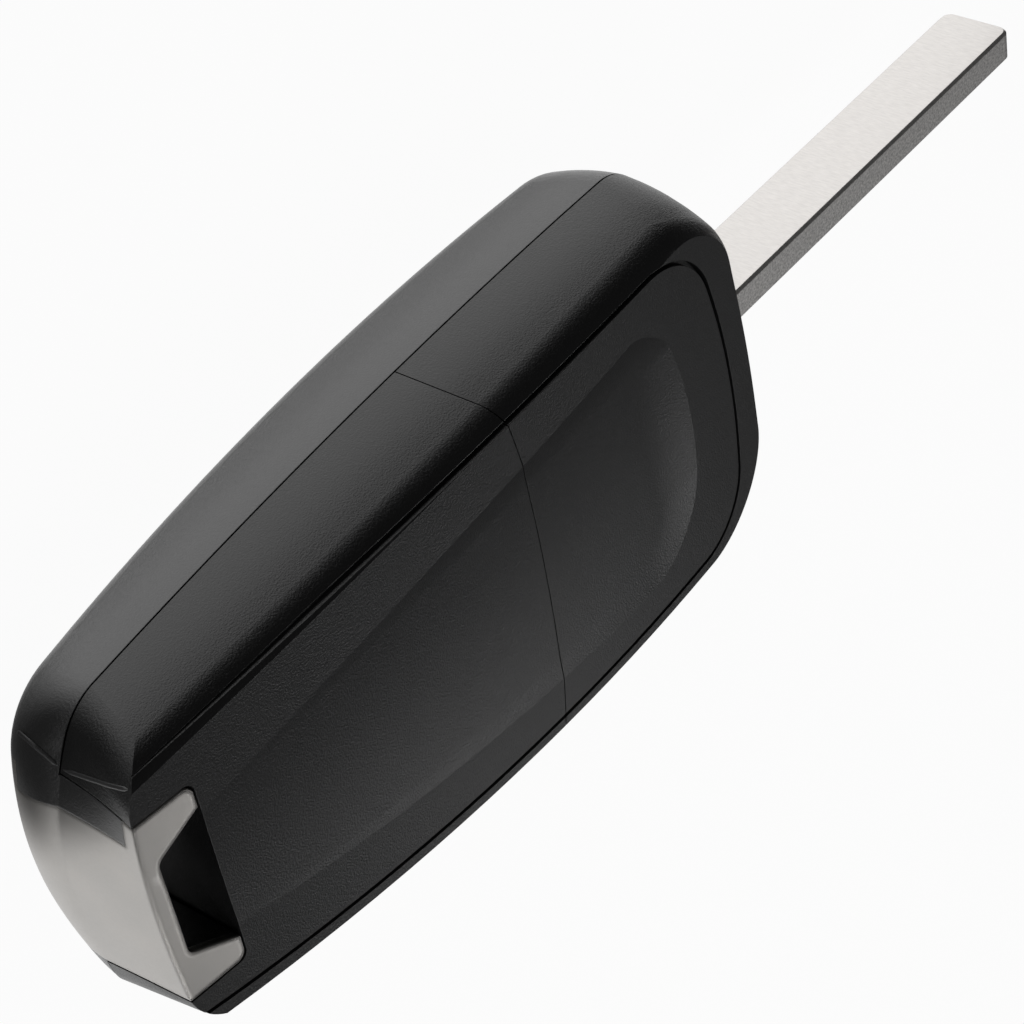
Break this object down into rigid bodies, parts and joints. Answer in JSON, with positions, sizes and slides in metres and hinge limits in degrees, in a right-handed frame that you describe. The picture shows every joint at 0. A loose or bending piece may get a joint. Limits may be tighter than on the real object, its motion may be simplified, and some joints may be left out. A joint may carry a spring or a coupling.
{
  "type": "key fob shell",
  "caption": "Flip-key fob shell with a fold-out uncut blade, push buttons on its front, a lift-off rear cover and a plated key-ring loop.",
  "frame": {"origin": "under the middle of the whole part's box, at the level of the flat keypad field that it lies on", "axes": "+X from the key-ring loop to the blade's tip, +Y to the plain long side, +Z out of the back face"},
  "size_m": [0.1214, 0.0348, 0.0179],
  "materials": {
    "shell_black": "satin, fine grain",
    "cover_black": "satin, fine grain",
    "trim_satin": "satin plated",
    "blade_steel": "plain milled",
    "hub_black": "satin",
    "pin_steel": "plain",
    "button_satin": "satin plated",
    "spring_steel": "drawn wire",
    "mat_rubber": "matt",
    "key_rubber": "matt",
    "screw_steel": "plain"
  },
  "bodies": {
    "shell": {"front_housing": "shell_black", "rear_head_housing": "shell_black", "loop_trim": "trim_satin", "housing_screws": "screw_steel", "keypad_mat": "mat_rubber"},
    "cover": {"rear_battery_cover": "cover_black"},
    "blade": {"key_blade": "blade_steel", "hinge_hub": "hub_black", "blade_roll_pin": "pin_steel"},
    "release": {"release_button": "button_satin", "flip_spring": "spring_steel"},
    "lock_key": {"lock_button": "key_rubber"},
    "unlock_key": {"unlock_button": "key_rubber"},
    "boot_key": {"boot_button": "key_rubber"}
  },
  "joints": [
    {"name": "blade_flip", "type": "hinge", "parent": "shell", "child": "blade", "pos_m": [0.00423, -0.00762, 0.00871], "axis": [0, 0, 1], "range_deg": [-182.5, 0], "stiffness_Nm_per_rad": 0.006},
    {"name": "release_press", "type": "slide", "parent": "shell", "child": "release", "axis": [0, 0, 1], "range_m": [0, 0.002], "stiffness_N_per_m": 300, "deforming": ["flip_spring"]},
    {"name": "lock_press", "type": "slide", "parent": "shell", "child": "lock_key", "axis": [0, 0, 1], "range_m": [0, 0.0006], "stiffness_N_per_m": 600, "deforming": ["keypad_mat"]},
    {"name": "unlock_press", "type": "slide", "parent": "shell", "child": "unlock_key", "axis": [0, 0, 1], "range_m": [0, 0.0006], "stiffness_N_per_m": 600, "deforming": ["keypad_mat"]},
    {"name": "boot_press", "type": "slide", "parent": "shell", "child": "boot_key", "axis": [0, 0, 1], "range_m": [0, 0.0006], "stiffness_N_per_m": 600, "deforming": ["keypad_mat"]},
    {"name": "cover_lift", "type": "slide", "parent": "shell", "child": "cover", "axis": [0, 0, 1], "range_m": [0, 0.02]}
  ]
}
